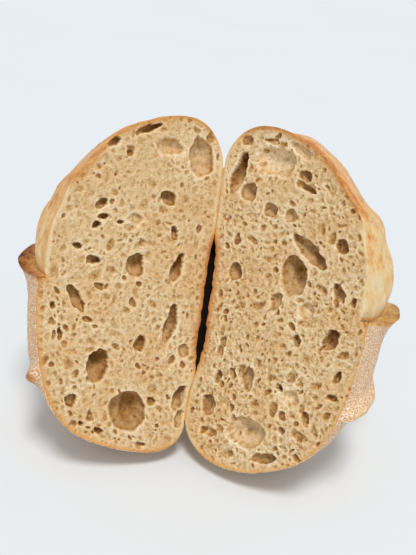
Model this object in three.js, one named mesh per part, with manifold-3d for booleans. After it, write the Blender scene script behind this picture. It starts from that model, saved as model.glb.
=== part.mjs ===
// A round sourdough loaf, cut down the middle and stood open like a book: two halves on their
// rims, base to base, leaning back, with their cut faces turned a little towards each other.
//
// Each half is modelled in the frame of the baked loaf: x runs along the knife cut, y across it
// and z up from the base to the dome. The cut is the plane y = 0. The half is then turned on end.
// Millimetres throughout, +Z up in the finished part.
import * as THREE from "three";
import { mergeVertices } from "three/addons/utils/BufferGeometryUtils.js";
import Module from "manifold-3d";

// Driving dimensions of the baked loaf.
const loafLength = 228; // along the cut, rim to rim
const loafDepth = 240; // across the cut, rim to rim
const loafHeight = 113; // base to dome
const waistHeight = 31; // height of the widest outline above the base
const kerf = 0.4; // bread lost to the knife
const lowerCurl = 0.21; // share of the half length in which the base curls up at the lower end
const baseArch = { at: -8, rise: 2.3, tilt: 0.7, reach: 44, squareness: 6 }; // a low vault in the base
const baseSway = { from: -52, to: -76, by: 3.5 }; // near one end one base swells into the other

// How square each curve is: 2 is an ellipse and more is boxier. The lower end is the one that
// the loaf stands on once it is turned on end.
const domeSquareness = { upper: 1.85, lower: 2.45 }; // dome along the cut
const planSquareness = { upper: 2.3, lower: 2.6 };
const crossSquareness = { upper: 2.2, lower: 1.7 }; // dome across the cut
const baseSquareness = 5;

// The long score opened into an ear: the flap below it stands up, and higher away from the cut.
const ear = {
  at: -1, // up the cut
  slant: 0.05, // of the score across the loaf
  lift: 3.6, // of the lip at the cut
  spread: 13,
  flare: 5.8, // what the lip gains away from the cut
  flareSpread: 6.5,
  step: 2.6, // from the dome down to the foot of the lip
  stepSpread: 8,
  reach: 88, // of the score, each way from the cut
  bend: 13, // of its ends, up the cut
};

// Beyond the ear the dough blooms out to a second edge, and a short score crosses the dome near
// the lower end.
const bloom = { at: 31, spread: 24, edgeAt: 58, edgeLift: 2.6, edgeSpread: 10 };
const shortScore = { at: -60, slant: 0.25, spread: 5, near: 6, far: 68 };

// What differs between the halves. side is 1 for the half behind the cut and -1 for the half in
// front of it, upperCurl is the share of the half length in which the base curls up at the upper
// end, and heel is how far the cut edge is pushed in at the lower one. A swelling is where the dome
// is fuller than even: up the cut, its spread, and by how much at the cut and behind it.
const halves = {
  half_left: {
    side: 1,
    upperCurl: 0.3,
    bloomSwell: 3.5,
    shortLift: 5.8,
    heel: 3.4,
    swellings: [
      { at: 93, spread: 13, atCut: 2.2, behind: 0 },
      { at: -66, spread: 34, atCut: 0, behind: 1.2 },
    ],
  },
  half_right: {
    side: -1,
    upperCurl: 0.25,
    bloomSwell: 2.4,
    shortLift: 7,
    heel: 0,
    swellings: [
      { at: 104, spread: 18, atCut: 0, behind: 2.8 },
      { at: 63, spread: 9, atCut: 0, behind: 1.6 },
      { at: -62, spread: 34, atCut: 0, behind: 3.2 },
    ],
  },
};

// Slow unevenness of the skin, as waves: height, length along x, y and z, and start.
const waves = [
  { height: 1.1, along: 31, across: 53, up: 47, start: 0.6 },
  { height: 0.9, along: -22, across: 27, up: 39, start: 2.1 },
  { height: 0.5, along: 13, across: -17, up: 24, start: 4.4 },
  { height: 0.3, along: 8, across: 9, up: -11, start: 1.3 },
];

// How the halves stand.
const leanBack = THREE.MathUtils.degToRad(24);
const turnIn = THREE.MathUtils.degToRad(29);
const restDepth = 4.5; // how much of the rim is pressed flat where a half stands
const meetingGap = 0.6; // between the two bases where they touch

// Facets.
const ringsAlong = 58;
const segmentsAround = 68;
const bubbleSegments = 12;
const bubbleRings = 8;

// The large hollows that the cut opens. Each row is where it lies (up the cut from its middle,
// out from the base), its length, its width, its depth, and its tilt in degrees, which turns the
// length from up the cut towards the dome.
const hollows = {
  half_left: [
    [-84, 45, 29, 26, 13, 12],
    [-55, 70, 22, 15, 11, 0],
    [12.5, 53, 16, 14, 9, 0],
    [12.5, 82, 6, 10, 6, 0],
    [-25.5, 23, 29, 9, 9, -6],
    [12.7, 23.5, 22, 9, 8, -15],
    [88, 77, 9.5, 3.8, 4, -52],
    [100, 56, 5, 20, 6, 28],
    [91, 40, 13, 21, 5, 0],
    [87, 17, 26, 19, 10, 20],
    [58, 36, 10, 12, 6, 0],
    [49, 81, 8, 7, 6, 0],
    [-12, 89, 20, 6, 7, 35],
    [-38.5, 42.5, 10, 10, 7, 0],
    [-75, 8.8, 20, 8, 8, -18],
    [-78, 84, 9, 8, 6, 0],
    [-96, 64, 5, 8, 5, -30],
    [36.5, 28.5, 10, 5.5, 6, 10],
  ],
  half_right: [
    [80, 11, 32, 9, 10, 14],
    [90, 36, 21, 32, 7, 0],
    [70, 20, 13, 14, 6, 0],
    [59, 38.5, 10, 11.5, 5, 0],
    [83, 60, 8, 9, 6, 0],
    [36, 69, 30, 10, 9, -56],
    [18.5, 60.5, 26, 18, 11, 0],
    [41, 91, 10, 8, 6, -20],
    [15, 18, 12, 12, 6, 0],
    [13, 94, 13, 7, 7, -35],
    [-21, 69.5, 8, 5.5, 6, 0],
    [-17, 92, 17, 9, 10, 24],
    [-52, 39, 17, 9.5, 7, 0],
    [-55.5, 16, 9, 5.5, 6, 0],
    [-38, 100, 9, 5, 6, 20],
    [-58.5, 71, 12, 15, 4, 0],
    [-76, 12, 16, 10, 8, 0],
    [-88, 42, 22, 31, 11, 0],
    [-101, 57, 6, 20, 6, -18],
    [-67, 83, 8, 7, 6, 0],
  ],
};

const wasm = await Module();
wasm.setup();

// A closed three.js geometry as a solid that can be cut.
function solidFrom(geometry) {
  const bare = geometry.clone();
  for (const name of Object.keys(bare.attributes)) {
    if (name !== "position") bare.deleteAttribute(name);
  }
  const merged = mergeVertices(bare, 1e-4);
  return new wasm.Manifold(
    new wasm.Mesh({
      numProp: 3,
      vertProperties: new Float32Array(merged.attributes.position.array),
      triVerts: new Uint32Array(merged.index.array),
    }),
  );
}

// A cut solid back as a three.js geometry.
function geometryFrom(solid) {
  const mesh = solid.getMesh();
  const geometry = new THREE.BufferGeometry();
  geometry.setAttribute("position", new THREE.BufferAttribute(mesh.vertProperties, 3));
  geometry.setIndex(new THREE.BufferAttribute(mesh.triVerts, 1));
  geometry.computeVertexNormals();
  return geometry;
}

const halfLength = loafLength / 2;
const halfDepth = loafDepth / 2;

// A superellipse quarter: 1 at share 0, and 0 at share 1.
function roundOff(share, squareness) {
  return Math.pow(Math.max(0, 1 - Math.pow(Math.abs(share), squareness)), 1 / squareness);
}

// 0 up to the start, 1 from the end, and smooth between them.
function ramp(start, end, x) {
  return THREE.MathUtils.smoothstep(x, start, end);
}

// A smooth hump of height 1.
function hump(x, centre, spread) {
  return Math.exp(-(((x - centre) / spread) ** 2));
}

// Height of the dome above the base on the cut plane, x along the cut.
function domeHeight(x) {
  const squareness = x > 0 ? domeSquareness.upper : domeSquareness.lower;
  return waistHeight + (loafHeight - waistHeight) * roundOff(x / halfLength, squareness);
}

// Height of the underside: flat, with a low vault in the middle, and curled up at the rim.
function baseHeight(x, { side, upperCurl }) {
  const inset = x > 0 ? upperCurl : lowerCurl;
  const curl = Math.max(0, (Math.abs(x / halfLength) - (1 - inset)) / inset);
  const curled = waistHeight * (1 - Math.sqrt(Math.max(0, 1 - curl * curl)));
  const arch = Math.max(0, 1 - Math.abs((x - baseArch.at) / baseArch.reach) ** baseArch.squareness);
  const sway = baseSway.by * side * ramp(-baseSway.from, -baseSway.to, -x) * Math.max(0, 1 - curl);
  return curled + (baseArch.rise - baseArch.tilt * side) * arch + sway;
}

// Stations along x, closer together near the ear so that its lip is sharp.
function stationAt(share) {
  const even = -halfLength * Math.cos(Math.PI * share);
  return even + (ear.at - even) * 0.62 * hump(even, ear.at, 20);
}

// What the scores add to the dome, measured outwards from it.
function scoreRelief(x, y, { bloomSwell, shortLift }) {
  const across = Math.abs(y);
  const along = 1 - ramp(ear.reach * 0.55, ear.reach, across);
  const flare = ear.flare * ramp(5, 55, across);
  const offset = x - ear.at;
  let relief =
    offset < 0
      ? ear.lift * Math.exp(offset / ear.spread) + flare * Math.exp(offset / ear.flareSpread)
      : -(ear.step + 0.45 * flare) * Math.exp(-offset / ear.stepSpread);
  relief += bloom.edgeLift * hump(x, bloom.edgeAt, bloom.edgeSpread);
  relief += bloomSwell * hump(x, bloom.at, bloom.spread) * (0.8 + 0.2 * ramp(5, 40, across));
  const { near, far } = shortScore;
  const shortAlong = ramp(0, near, across) * (1 - ramp(0.6 * far, far, across));
  const shortAt = shortScore.at - shortScore.slant * y;
  return relief * along + shortLift * hump(x, shortAt, shortScore.spread) * shortAlong;
}

// How much fuller than even one half's dome is.
function swollen(x, y, { swellings }) {
  const across = Math.abs(y);
  const atCut = 1 - ramp(0, 30, across);
  const behind = ramp(0, 24, across) * (1 - ramp(60, 110, across));
  let sum = 0;
  for (const swelling of swellings) {
    sum += (swelling.atCut * atCut + swelling.behind * behind) * hump(x, swelling.at, swelling.spread);
  }
  return sum;
}

// How far the curve and slant of the long score and the heel move the skin up the cut.
function movedUp({ x, y, z }, crown, { heel }) {
  const scored = ear.bend * ramp(30, 80, Math.abs(y)) + ear.slant * y;
  const pushed = heel * hump(z, 42, 30) * ramp(70, 108, -x) * (1 - ramp(0, 35, Math.abs(y)));
  return scored * crown * hump(x, ear.at, 45) + pushed;
}

function unevenness(x, y, z) {
  let sum = 0;
  for (const wave of waves) {
    sum += wave.height * Math.sin(x / wave.along + y / wave.across + z / wave.up + wave.start);
  }
  return sum;
}

// A point of the loaf's skin. share runs 0 to 1 along x, and turn is the angle round the x axis.
function skinPoint(share, turn, half) {
  const x = stationAt(share);
  const plan = x > 0 ? planSquareness.upper : planSquareness.lower;
  const reach = halfDepth * roundOff(x / halfLength, plan);
  const upper = Math.sin(turn) > 0;
  const { lower: crossLower, upper: crossUpper } = crossSquareness;
  const cross = crossLower + (crossUpper - crossLower) * ramp(-90, 10, x);
  const squareness = upper ? cross : baseSquareness;
  const out = Math.pow(Math.abs(Math.cos(turn)), 2 / squareness);
  const rise = Math.pow(Math.abs(Math.sin(turn)), 2 / squareness);
  const y = reach * Math.sign(Math.cos(turn)) * out;
  const edge = upper ? domeHeight(x) : baseHeight(x, half);
  const z = waistHeight + (edge - waistHeight) * rise;

  const halfRise = upper ? loafHeight - waistHeight : waistHeight;
  const outwards = new THREE.Vector3(
    x / halfLength ** 2,
    y / halfDepth ** 2,
    (z - waistHeight) / halfRise ** 2,
  ).normalize();
  const inland = ramp(0, 0.3, roundOff(x / halfLength, 2));
  const crown = upper ? ramp(0.05, 0.5, rise) * inland : 0;
  const loose = upper ? 1 : 1 - ramp(0.3, 0.9, rise) * inland; // the base itself stays flat
  const point = new THREE.Vector3(x, y, z);
  const raised = scoreRelief(x, y, half) + swollen(x, y, half);
  point.addScaledVector(outwards, raised * crown + unevenness(x, y, z) * loose);
  point.x += movedUp(point, crown, half);
  return point;
}

function wholeLoaf(half) {
  const geometry = new THREE.SphereGeometry(1, segmentsAround, ringsAlong);
  const position = geometry.attributes.position;
  const perRing = segmentsAround + 1; // the first and last point of a ring are one
  for (let i = 0; i < position.count; i++) {
    const ring = Math.floor(i / perRing);
    const atPole = ring === 0 || ring === ringsAlong;
    const step = atPole ? 0 : (i % perRing) % segmentsAround;
    const point = skinPoint(1 - ring / ringsAlong, (2 * Math.PI * step) / segmentsAround, half);
    position.setXYZ(i, point.x, point.y, point.z);
  }
  return solidFrom(geometry);
}

// A box far larger than the loaf, with its lower or upper face at the given level on one axis.
function blockFrom(axis, level, direction) {
  const reach = 4 * loafLength;
  const centre = new THREE.Vector3();
  centre[axis] = level + (direction * reach) / 2;
  const geometry = new THREE.BoxGeometry(reach, reach, reach);
  return geometry.translate(centre.x, centre.y, centre.z);
}

// A bubble in the crumb, cut in two by the knife.
function bubble([x, z, length, width, depth, tilt]) {
  const geometry = new THREE.SphereGeometry(1, bubbleSegments, bubbleRings);
  geometry.scale(length / 2, depth, width / 2);
  geometry.rotateY(-THREE.MathUtils.degToRad(tilt));
  return solidFrom(geometry.translate(x, 0, z));
}

function halfLoaf(half, bubbles) {
  const behindCut = solidFrom(blockFrom("y", (half.side * kerf) / 2, half.side));
  let solid = wholeLoaf(half).intersect(behindCut);
  for (const row of bubbles) {
    solid = solid.subtract(bubble(row));
  }
  return solid;
}

// Turns the loaf's frame on end: x goes up, the dome goes outwards and the rim goes back.
function standingMatrix(side) {
  const up = new THREE.Vector3(0, 0, 1);
  const back = new THREE.Vector3(0, side, 0);
  const outwards = new THREE.Vector3(-side, 0, 0);
  const onEnd = new THREE.Matrix4().makeBasis(up, back, outwards);
  const turn = new THREE.Matrix4().makeRotationZ(side * turnIn);
  const lean = new THREE.Matrix4().makeRotationX(-leanBack);
  const apart = new THREE.Matrix4().makeTranslation((-side * meetingGap) / 2, 0, 0);
  return lean.multiply(apart).multiply(turn).multiply(onEnd);
}

function lowestPoint(solid, matrix) {
  const { vertProperties } = solid.getMesh();
  const point = new THREE.Vector3();
  let lowest = Infinity;
  for (let i = 0; i < vertProperties.length; i += 3) {
    point.fromArray(vertProperties, i).applyMatrix4(matrix);
    lowest = Math.min(lowest, point.z);
  }
  return lowest;
}

function crustMaterial() {
  return new THREE.MeshStandardMaterial({
    color: new THREE.Color(0.8, 0.6, 0.38),
    roughness: 0.78,
    metalness: 0,
  });
}

// A half on end, pressed flat where it stands, with the floor at z = 0.
function standingHalf(name) {
  const half = halves[name];
  const standing = standingMatrix(half.side);
  const solid = halfLoaf(half, hollows[name]);
  const floorHeight = lowestPoint(solid, standing) + restDepth;
  const underFloor = blockFrom("z", floorHeight, -1).applyMatrix4(standing.clone().invert());
  const mesh = new THREE.Mesh(geometryFrom(solid.subtract(solidFrom(underFloor))), crustMaterial());
  mesh.name = name;
  mesh.applyMatrix4(standing);
  mesh.position.z -= floorHeight;
  return mesh;
}

const pair = new THREE.Group();
for (const name of Object.keys(halves)) {
  pair.add(standingHalf(name));
}

// The origin is on the floor, under the middle of the pair.
pair.updateMatrixWorld(true);
const middle = new THREE.Box3().setFromObject(pair, true).getCenter(new THREE.Vector3());
pair.position.set(-middle.x, -middle.y, 0);

export default pair;
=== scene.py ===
import itertools
import math

import bmesh
import bpy
import numpy as np
from mathutils import Matrix, Vector
from mathutils.kdtree import KDTree


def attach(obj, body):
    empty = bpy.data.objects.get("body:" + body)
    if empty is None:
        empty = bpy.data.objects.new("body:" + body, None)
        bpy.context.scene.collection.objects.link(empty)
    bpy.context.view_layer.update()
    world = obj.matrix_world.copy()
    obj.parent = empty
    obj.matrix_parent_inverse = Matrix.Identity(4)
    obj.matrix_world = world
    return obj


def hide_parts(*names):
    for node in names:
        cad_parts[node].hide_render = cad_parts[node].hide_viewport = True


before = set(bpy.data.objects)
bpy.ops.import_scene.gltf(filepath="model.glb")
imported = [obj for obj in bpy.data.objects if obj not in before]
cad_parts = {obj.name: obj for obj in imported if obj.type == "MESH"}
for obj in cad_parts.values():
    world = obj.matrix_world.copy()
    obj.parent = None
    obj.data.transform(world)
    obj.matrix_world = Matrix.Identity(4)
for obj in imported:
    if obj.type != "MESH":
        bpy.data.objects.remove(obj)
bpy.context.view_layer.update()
print("frame loaded:", sorted(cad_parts))

# The baked loaf, in millimetres: x runs along the knife cut, y across it, z from base to dome.
# A pair is a value for the cut's lower and one for its upper end, or where something starts and ends.
loaf = {
    "length": 228, "depth": 240, "height": 113, "waist": 31, "kerf": 0.4,
    "lowerCurl": 0.21,  # share of the half length that rounds up
    "arch": {"at": -8, "rise": 2.3, "tilt": 0.7, "reach": 44, "squareness": 6},
    "sway": {"along": (52, 76), "by": 3.5},
    "domeSquareness": (2.45, 1.85), "planSquareness": (2.6, 2.3), "crossSquareness": (1.7, 2.2),
    "crossChanges": (-90, 10), "baseSquareness": 5,
    "ear": {
        "at": -1, "slant": 0.05, "lift": 3.6, "spread": 13, "flare": 5.8, "flareSpread": 6.5,
        "flareGrows": (5, 55), "step": 2.6, "stepSpread": 8, "stepFlare": 0.45, "reach": 88,
        "fade": (0.55, 1),  # in shares of the reach
        "bend": 13,  # how far it curves up the loaf
        "bends": (30, 80), "bendSpread": 45,
    },
    "bloom": {
        "at": 31, "spread": 24, "atCut": 0.8, "further": 0.2, "grows": (5, 40), "edgeAt": 58,
        "edgeLift": 2.6, "edgeSpread": 10,
    },
    "shortScore": {"at": -60, "slant": 0.25, "spread": 5, "near": 6, "far": 68, "fade": 0.6},
    "heel": {"height": 42, "spread": 30, "along": (70, 108), "across": 35},
    "swelling": {"besideCut": 30, "grows": 24, "fades": (60, 110)},
    "waves": (  # height; along, across, up; start
        (1.1, 31, 53, 47, 0.6),
        (0.9, -22, 27, 39, 2.1),
        (0.5, 13, -17, 24, 4.4),
        (0.3, 8, 9, -11, 1.3),
    ),
}

# Each half: its side of the cut, where the loaf's origin comes to in the frame, and its own forms.
# A swelling is its place up the cut, its spread, and its height at the cut and behind it.
halves = {
    "half_left": {
        "side": 1, "origin": (-1.084, -13.596, 110.123), "upperCurl": 0.3, "bloomSwell": 3.5,
        "shortLift": 5.8, "heel": 3.4, "swellings": ((93, 13, 2.2, 0), (-66, 34, 0, 1.2)),
    },
    "half_right": {
        "side": -1, "origin": (-0.484, -13.596, 110.735), "upperCurl": 0.25, "bloomSwell": 2.4,
        "shortLift": 7, "heel": 0,
        "swellings": ((104, 18, 0, 2.8), (63, 9, 0, 1.6), (-62, 34, 0, 3.2)),
    },
}
stance = {"leanBack": 24, "turnIn": 29, "pressed": 2.0, "pressedBelow": 30}

# Where something is drawn in several sizes, their seeds count up from its own.
seeds = {
    "lumps": 11, "pimples": 12, "strands": 13, "ragged": 14, "patches": 21, "smallPatches": 22,
    "spots": 23, "bend": 31, "wander": 41, "web": 51, "half_left": 61, "half_right": 62,
    "folds": 71, "foldFront": 81, "foam": 91, "regions": 99,
}

halfLength = loaf["length"] / 2
halfDepth = loaf["depth"] / 2
waist = loaf["waist"]
domeRise = loaf["height"] - waist
tiny = 1e-6


def roundOff(share, squareness):
    return np.maximum(0, 1 - np.abs(share) ** squareness) ** (1 / squareness)


def ramp(start, end, x):
    t = np.clip((x - start) / (end - start), 0, 1)
    return t * t * (3 - 2 * t)


def rampPast(place, reach, x):
    return ramp(place + reach[0], place + reach[1], x)


def hump(x, centre, spread):
    return np.exp(-(((x - centre) / spread) ** 2))


def byEnd(x, pair):
    return np.where(x > 0, pair[1], pair[0])


def towards(value, goal, share):
    return value + (goal - value) * np.clip(share, 0, 1)


# Noise from -1 to 1 with features of about this size.
def smoothNoise(points, size, seed, period=48):
    table = np.random.default_rng(seed).random((period, period, period)) * 2 - 1
    cell = points / size
    low = np.floor(cell).astype(int)
    part = cell - low
    part = part * part * (3 - 2 * part)
    total = np.zeros(len(points))
    for corner in itertools.product((0, 1), repeat=3):
        weight = np.ones(len(points))
        index = []
        for axis, step in enumerate(corner):
            weight *= part[:, axis] if step else 1 - part[:, axis]
            index.append((low[:, axis] + step) % period)
        total += weight * table[tuple(index)]
    return total


def domeHeight(x):
    return waist + domeRise * roundOff(x / halfLength, byEnd(x, loaf["domeSquareness"]))


def archShare(x):
    arch = loaf["arch"]
    return np.maximum(0, 1 - np.abs((x - arch["at"]) / arch["reach"]) ** arch["squareness"])


def baseHeight(x, half):
    arch, sway, side = loaf["arch"], loaf["sway"], half["side"]
    inset = byEnd(x, (loaf["lowerCurl"], half["upperCurl"]))
    curl = np.maximum(0, (np.abs(x / halfLength) - (1 - inset)) / inset)
    curled = waist * (1 - np.sqrt(np.maximum(0, 1 - curl * curl)))
    swayed = sway["by"] * side * ramp(*sway["along"], -x) * np.maximum(0, 1 - curl)
    return curled + (arch["rise"] - arch["tilt"] * side) * archShare(x) + swayed


def alongEar(across, fade):
    reach = loaf["ear"]["reach"]
    return 1 - ramp(fade[0] * reach, fade[1] * reach, across)


def scoreRelief(x, y, half):
    ear, bloom, short = loaf["ear"], loaf["bloom"], loaf["shortScore"]
    across = np.abs(y)
    flare = ear["flare"] * ramp(*ear["flareGrows"], across)
    below, above = np.minimum(x - ear["at"], 0), np.maximum(x - ear["at"], 0)
    lifted = ear["lift"] * np.exp(below / ear["spread"]) + flare * np.exp(below / ear["flareSpread"])
    dipped = -(ear["step"] + ear["stepFlare"] * flare) * np.exp(-above / ear["stepSpread"])
    relief = np.where(x < ear["at"], lifted, dipped)
    relief += bloom["edgeLift"] * hump(x, bloom["edgeAt"], bloom["edgeSpread"])
    swell = bloom["atCut"] + bloom["further"] * ramp(*bloom["grows"], across)
    relief += half["bloomSwell"] * hump(x, bloom["at"], bloom["spread"]) * swell
    fading = 1 - ramp(short["fade"] * short["far"], short["far"], across)
    shortAlong = ramp(0, short["near"], across) * fading
    shortAt = short["at"] - short["slant"] * y
    shortRelief = half["shortLift"] * hump(x, shortAt, short["spread"]) * shortAlong
    return relief * alongEar(across, ear["fade"]) + shortRelief


def swollen(x, y, half):
    across, swelling = np.abs(y), loaf["swelling"]
    besideCut = 1 - ramp(0, swelling["besideCut"], across)
    further = ramp(0, swelling["grows"], across) * (1 - ramp(*swelling["fades"], across))
    total = np.zeros(len(x))
    for at, spread, atCut, behind in half["swellings"]:
        total += (atCut * besideCut + behind * further) * hump(x, at, spread)
    return total


# How far the curve and slant of the long score and the pushed in heel move the skin up the cut.
def movedUp(points, crown, half):
    ear, heel = loaf["ear"], loaf["heel"]
    x, y, z = points.T
    across = np.abs(y)
    scored = ear["bend"] * ramp(*ear["bends"], across) + ear["slant"] * y
    pushed = half["heel"] * hump(z, heel["height"], heel["spread"]) * ramp(*heel["along"], -x)
    pushed *= 1 - ramp(0, heel["across"], across)
    return scored * crown * hump(x, ear["at"], ear["bendSpread"]) + pushed


def unevenness(x, y, z):
    total = np.zeros(len(x))
    for height, along, across, up, start in loaf["waves"]:
        total += height * np.sin(x / along + y / across + z / up + start)
    return total


# The crust: its mesh, and what the oven leaves on its surface.
crust = {
    "around": 268, "along": 310,
    "gather": {"share": 0.62, "spread": 20},  # how the mesh closes up at the ear
    "rim": 0.3,
    "recess": {"depth": 17, "inset": 3.2},
    "ends": 0.3,  # of the roundness, where the relief fades in
    "crown": (0.05, 0.5),  # shares of the rise where the dome's relief starts
    "flat": (0.3, 0.9),  # and the base gets even
    "lumps": {"size": 9, "height": 0.6, "least": 0.3, "crown": 0.7},
    "pimples": {"size": 2.6, "height": 0.22, "least": 0.2, "crown": 0.8},
    "strands": {"size": 1.3, "length": 16, "height": 0.2},
    "ragged": {"size": 2.8, "height": 0.85, "behind": (2, 8)},  # the vault's torn edges
    "bloomOpens": (0.5, 3),  # above the ear
    "bloomCloses": (-6, 8),  # about its upper edge
    "bloomFade": (0.6, 1.05),  # shares of the ear's reach
}


# Where the mesh's rows lie along the cut, closer at its ends and the ear.
def stationAt(share):
    at, gather = loaf["ear"]["at"], crust["gather"]
    even = -halfLength * np.cos(np.pi * share)
    return even + (at - even) * gather["share"] * hump(even, at, gather["spread"])


# Turns of a quarter of the cross-section, evenly spaced along its outline.
def evenTurns(squareness, high, count=4000):
    turn = np.pi / 2 * (1 - np.linspace(1, 0, count) ** 3)
    out = halfDepth * np.cos(turn) ** (2 / squareness)
    rise = high * np.sin(turn) ** (2 / squareness)
    length = np.concatenate(([0], np.cumsum(np.hypot(np.diff(out), np.diff(rise)))))
    return length / length[-1] * np.pi / 2, turn


evenUpper = evenTurns(2.0, domeRise)
evenLower = evenTurns(loaf["baseSquareness"], waist)


def bloomMask(x, across):
    opening = rampPast(loaf["ear"]["at"], crust["bloomOpens"], x)
    closing = 1 - rampPast(loaf["bloom"]["edgeAt"], crust["bloomCloses"], x)
    return opening * closing * alongEar(across, crust["bloomFade"])


def crustRelief(points, crown):
    strands = crust["strands"]
    lift = np.zeros(len(points))
    for kind in ("lumps", "pimples"):
        bumps = crust[kind]
        share = bumps["least"] + bumps["crown"] * crown
        lift += bumps["height"] * smoothNoise(points, bumps["size"], seeds[kind]) * share
    drawn = points / np.array([strands["length"], strands["size"], strands["length"]])
    inBloom = bloomMask(points[:, 0], np.abs(points[:, 1]))
    return lift + strands["height"] * smoothNoise(drawn, 1, seeds["strands"]) * crown * inBloom


# Points of the loaf's skin, their way outwards, how much they belong to the dome, and where they lay
# along the cut before the scores moved them. The angle runs from the dome to the base.
def skin(share, angle, half):
    turn = np.where(angle > 0, np.interp(angle, *evenUpper), -np.interp(-angle, *evenLower))
    x = stationAt(share)
    reach = halfDepth * roundOff(x / halfLength, byEnd(x, loaf["planSquareness"]))
    upper = turn > 0
    cross = towards(*loaf["crossSquareness"], ramp(*loaf["crossChanges"], x))
    squareness = np.where(upper, cross, loaf["baseSquareness"])
    out = np.abs(np.cos(turn)) ** (2 / squareness)
    out = np.where(np.abs(np.abs(turn) - np.pi / 2) < tiny, 0, out)
    rise = np.abs(np.sin(turn)) ** (2 / squareness)
    y = half["side"] * reach * out
    edge = np.where(upper, domeHeight(x), baseHeight(x, half))
    z = waist + (edge - waist) * rise
    halfRise = np.where(upper, domeRise, waist)
    outwards = np.stack([x / halfLength**2, y / halfDepth**2, (z - waist) / halfRise**2], 1)
    outwards /= np.linalg.norm(outwards, axis=1)[:, None]
    inland = ramp(0, crust["ends"], roundOff(x / halfLength, 2))
    crown = np.where(upper, ramp(*crust["crown"], rise) * inland, 0)
    loose = np.where(upper, 1, 1 - ramp(*crust["flat"], rise) * inland)
    points = np.stack([x, y, z], 1)
    raised = (scoreRelief(x, y, half) + swollen(x, y, half)) * crown
    ragged = crust["ragged"]
    torn = (1 - loose) * archShare(x) * (1 - ramp(*ragged["behind"], np.abs(y)))
    lift = raised + unevenness(x, y, z) * loose + crustRelief(points, crown)
    lift += ragged["height"] * torn * smoothNoise(points, ragged["size"], seeds["ragged"])
    unmoved = points[:, 0] + outwards[:, 0] * lift
    points += outwards * lift[:, None]
    points[:, 0] += movedUp(points, crown, half)
    return points, outwards, crown, unmoved


def standing(name):
    half = halves[name]
    side = half["side"]
    onEnd = Matrix(((0, 0, -side), (0, side, 0), (1, 0, 0))).to_4x4()
    turn = Matrix.Rotation(side * math.radians(stance["turnIn"]), 4, "Z")
    lean = Matrix.Rotation(-math.radians(stance["leanBack"]), 4, "X")
    return Matrix.Translation(half["origin"]) @ lean @ turn @ onEnd


# From the loaf's frame to the part's in metres, with the rim pressed down where it rests.
def placed(points, name):
    matrix = np.array(standing(name))
    world = points @ matrix[:3, :3].T + matrix[:3, 3]
    height, soft, limit = world[:, 2], stance["pressed"], stance["pressedBelow"]
    pressed = soft * np.log1p(np.exp(np.minimum(height, limit) / soft))
    world[:, 2] = np.where(height > limit, height, pressed)
    return world / 1000


# How far each part is baked, 0 pale to 1 dark, and how floury flank, shoulder and bloom are.
baked = {
    "half_left": {
        "flank": (0.46, 0.78), "shoulder": (0.42, 0.42), "bloom": (0.24, 0.2), "bloomTop": 0.44,
        "lip": 0.76, "lipFace": 0.42, "edge": 0.56, "nub": 0.7, "nubBare": 1, "nearCut": 0.48,
    },
    "half_right": {
        "flank": (0.37, 0.86), "shoulder": (0.4, 0.46), "bloom": (0.14, 0.08), "bloomTop": 0.24,
        "lip": 0.5, "lipFace": 0.32, "edge": 0.44, "nub": 0.3, "nubBare": 0.4, "nearCut": 0.54,
    },
}
under = {"arch": 0.54, "rest": 0.13, "away": 0.5, "flour": 0.35}

# Where these tones lie, in millimetres along the cut or away from it.
toneShapes = {
    "patches": {"size": 26, "small": 11, "smallShare": 0.5, "toast": 0.09, "flour": 0.14, "base": 0.08},
    "spots": 5,
    "earFade": (0.7, 1.1),  # shares of the ear's reach
    "crest": 2.2, "face": (1, 3),
    "edge": {"past": 5, "spread": 4.5, "patches": (-0.7, 0.5)},
    "shoulder": (0, 8),
    "nub": {"below": 3.5, "spread": 4.5, "grows": (2, 10), "fades": (44, 66)},
    "nearCut": {"across": (5, 15), "cleared": 0.7},
    "bloomTop": {"along": (12, 48), "patches": 8},
    "blush": {"spots": (0.35, 0.9), "along": (18, 30), "toast": 0.5, "share": 0.7},
    "cutLine": {"across": (0.8, 3), "toast": 0.04},
    "base": {"upTo": (2, 16), "away": (4, 16), "archEnds": (-4, 14)},
}


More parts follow.
